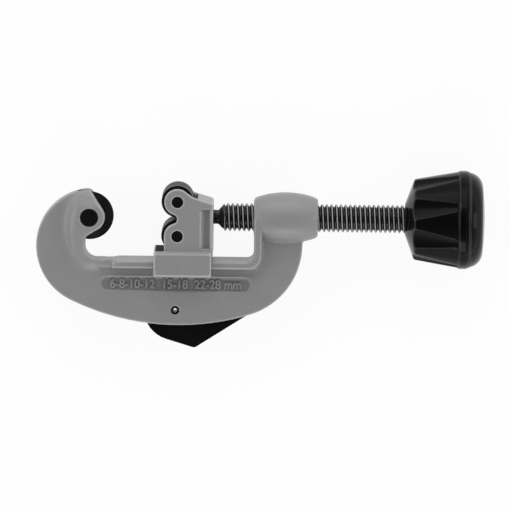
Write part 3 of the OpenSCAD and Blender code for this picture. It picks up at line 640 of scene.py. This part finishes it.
# plain tube sizes stand raised in the near flank's panel; the letters are first made at a size of one, with
# their weight, depth and bevel as shares of it, and then brought to their length and height
numberLook = {
    "words": "6-8-10-12  15-18  22-28 mm", "length": 56.0, "height": 4.3, "centre": (15.7, -28.6),
    "bottom": 3.05, "top": 3.85, "weight": 0.018, "depth": 0.08, "bevel": 0.02, "bevelSteps": 1,
    "curveSteps": 6, "merge": 0.0005, "smoothAngle": 40,
    "finish": dict(plainCastLook, dark=(0.19, 0.191, 0.193), light=(0.22, 0.221, 0.223)),
}


def buildNumbers(look):
    deselectAll()
    bpy.ops.object.text_add(location=(0, 0, 0))
    obj = bpy.context.object
    obj.name = "tubeSizes"
    obj.data.body = look["words"]
    obj.data.align_x, obj.data.align_y = "CENTER", "CENTER"
    obj.data.offset = look["weight"]
    obj.data.resolution_u = look["curveSteps"]
    obj.data.extrude = look["depth"]
    obj.data.bevel_depth = look["bevel"]
    obj.data.bevel_resolution = look["bevelSteps"]
    bpy.ops.object.convert(target="MESH")
    obj = bpy.context.object
    low = [min(v.co[k] for v in obj.data.vertices) for k in (0, 1, 2)]
    high = [max(v.co[k] for v in obj.data.vertices) for k in (0, 1, 2)]
    wanted = (look["length"], look["height"], look["top"] - look["bottom"])
    middle = (look["centre"][0], look["centre"][1], (look["top"] + look["bottom"]) / 2)
    obj.location = [-(high[k] + low[k]) / 2 for k in (0, 1, 2)]
    settle(obj)
    obj.scale = [wanted[k] * mm / (high[k] - low[k]) for k in (0, 1, 2)]
    obj.location = [c * mm for c in middle]
    settle(obj)
    mergeMesh(obj, look["merge"])
    outwards(obj)
    smooth(obj, look["smoothAngle"])
    obj.data.materials.clear()
    obj.data.materials.append(makeFinish("greyNumbers", look["finish"]))
    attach(obj, "frame")
    return obj


tubeSizes = buildNumbers(numberLook)
print("numbers raised:", len(tubeSizes.data.polygons), "faces")

# the stage: a white floor that the tool lies on, which glows where it is seen or mirrored
floorLook = {"size": 3.0, "centre": (0.05, 0), "white": (0.95, 0.95, 0.95), "roughness": 0.9, "glow": 0.9}


def isSeenBy(tree, first, second):
    # one for two kinds of ray, which Light Path names, and nothing for the rest
    path = addNode(tree, "ShaderNodeLightPath")
    seen = addNode(tree, "ShaderNodeMath", operation="MAXIMUM")
    tree.links.new(path.outputs[first], seen.inputs[0])
    tree.links.new(path.outputs[second], seen.inputs[1])
    return seen.outputs["Value"]


def buildFloor(look):
    deselectAll()
    bpy.ops.mesh.primitive_plane_add(size=look["size"], location=(*look["centre"], boxLow.z))
    floor = bpy.context.object
    floor.name = "studioFloor"
    mat = bpy.data.materials.new("whiteFloor")
    mat.use_nodes = True
    tree = mat.node_tree
    link = tree.links.new
    shader = tree.nodes["Principled BSDF"]
    shader.inputs["Base Color"].default_value = (*look["white"], 1)
    shader.inputs["Roughness"].default_value = look["roughness"]
    glow = addNode(tree, "ShaderNodeEmission")
    share = addNode(tree, "ShaderNodeMath", {1: look["glow"]}, operation="MULTIPLY")
    link(isSeenBy(tree, "Is Camera Ray", "Is Glossy Ray"), share.inputs[0])
    mix = addNode(tree, "ShaderNodeMixShader")
    link(share.outputs["Value"], mix.inputs["Fac"])
    link(shader.outputs["BSDF"], mix.inputs[1])
    link(glow.outputs["Emission"], mix.inputs[2])
    link(mix.outputs["Shader"], tree.nodes["Material Output"].inputs["Surface"])
    floor.data.materials.append(mat)


buildFloor(floorLook)
print("floor laid")

# a ring of soft lamps, aimed at the tool: flat faces stay even and rounded edges catch light
lampLook = {
    "aim": (0.05, -0.015, 0),
    "lamps": {
        "aboveLamp": {"place": (0.05, 0.75, 0.48), "size": 0.75, "power": 2.5},
        "leftLamp": {"place": (-0.70, 0.05, 0.50), "size": 0.45, "power": 1.1},
        "rightLamp": {"place": (0.80, 0.05, 0.50), "size": 0.45, "power": 1.15},
        "belowLamp": {"place": (0.05, -0.78, 0.48), "size": 0.45, "power": 1.85},
    },
}


def addLamp(name, look, aim):
    light = bpy.data.lights.new(name, "AREA")
    light.shape = "SQUARE"
    light.size = look["size"]
    light.energy = look["power"]
    lamp = bpy.data.objects.new(name, light)
    bpy.context.collection.objects.link(lamp)
    lamp.location = look["place"]
    lamp.rotation_mode = "QUATERNION"
    lamp.rotation_quaternion = (Vector(aim) - Vector(look["place"])).to_track_quat("-Z", "Y")


for name, look in lampLook["lamps"].items():
    addLamp(name, look, lampLook["aim"])
print("lamps hung:", len(lampLook["lamps"]))

# a pale tent round the tool, darker overhead, and plain white behind it as the camera sees it
roomLook = {"horizon": 1.65, "overhead": 0.12, "seen": 1.0, "colour": (1, 1, 1)}


def buildRoom(look):
    world = bpy.data.worlds.new("paleRoom")
    bpy.context.scene.world = world
    world.use_nodes = True
    tree = world.node_tree
    link = tree.links.new
    room = tree.nodes["Background"]
    room.inputs["Color"].default_value = (*look["colour"], 1)
    coord = addNode(tree, "ShaderNodeTexCoord")
    axes = addNode(tree, "ShaderNodeSeparateXYZ")
    link(coord.outputs["Generated"], axes.inputs["Vector"])
    tent = addNode(tree, "ShaderNodeMapRange", {"To Min": look["horizon"], "To Max": look["overhead"]})
    link(axes.outputs["Z"], tent.inputs["Value"])
    seen = isSeenBy(tree, "Is Camera Ray", "Is Transmission Ray")
    link(layOver(tree, tent.outputs["Result"], look["seen"], seen), room.inputs["Strength"])


buildRoom(roomLook)
print("room lit")

# the camera hangs far above the lying tool, tipped a few degrees towards the screw's side
cameraLook = {
    "distance": 3125.0, "target": (49.3, -16.2, 0.0), "mmPerPixel": 0.4257, "pixels": 510,
    "elevation": 7.75, "yaw": 0.475,  # degrees
    "roll": 0.0117,  # radians
    "sensor": 36.0, "clip": (0.1, 20.0),
}


def buildCamera(look):
    lift, yaw, roll = math.radians(look["elevation"]), math.radians(look["yaw"]), look["roll"]
    back = Vector((math.sin(yaw) * math.cos(lift), math.sin(lift), math.cos(yaw) * math.cos(lift)))
    level = Vector((0, 1, 0)).cross(back).normalized()
    upright = back.cross(level).normalized()
    right = level * math.cos(roll) + upright * math.sin(roll)
    up = upright * math.cos(roll) - level * math.sin(roll)
    data = bpy.data.cameras.new("photoCamera")
    camera = bpy.data.objects.new("photoCamera", data)
    bpy.context.collection.objects.link(camera)
    pose = Matrix((right, up, back)).transposed().to_4x4()
    pose.translation = Vector(look["target"]) * mm + back * look["distance"] * mm
    camera.matrix_world = pose
    data.sensor_width = look["sensor"]
    data.lens = look["sensor"] * look["distance"] / (look["pixels"] * look["mmPerPixel"])
    data.clip_start, data.clip_end = look["clip"]
    bpy.context.scene.camera = camera


buildCamera(cameraLook)
bpy.context.scene.view_settings.view_transform = "Standard"
print("camera set")
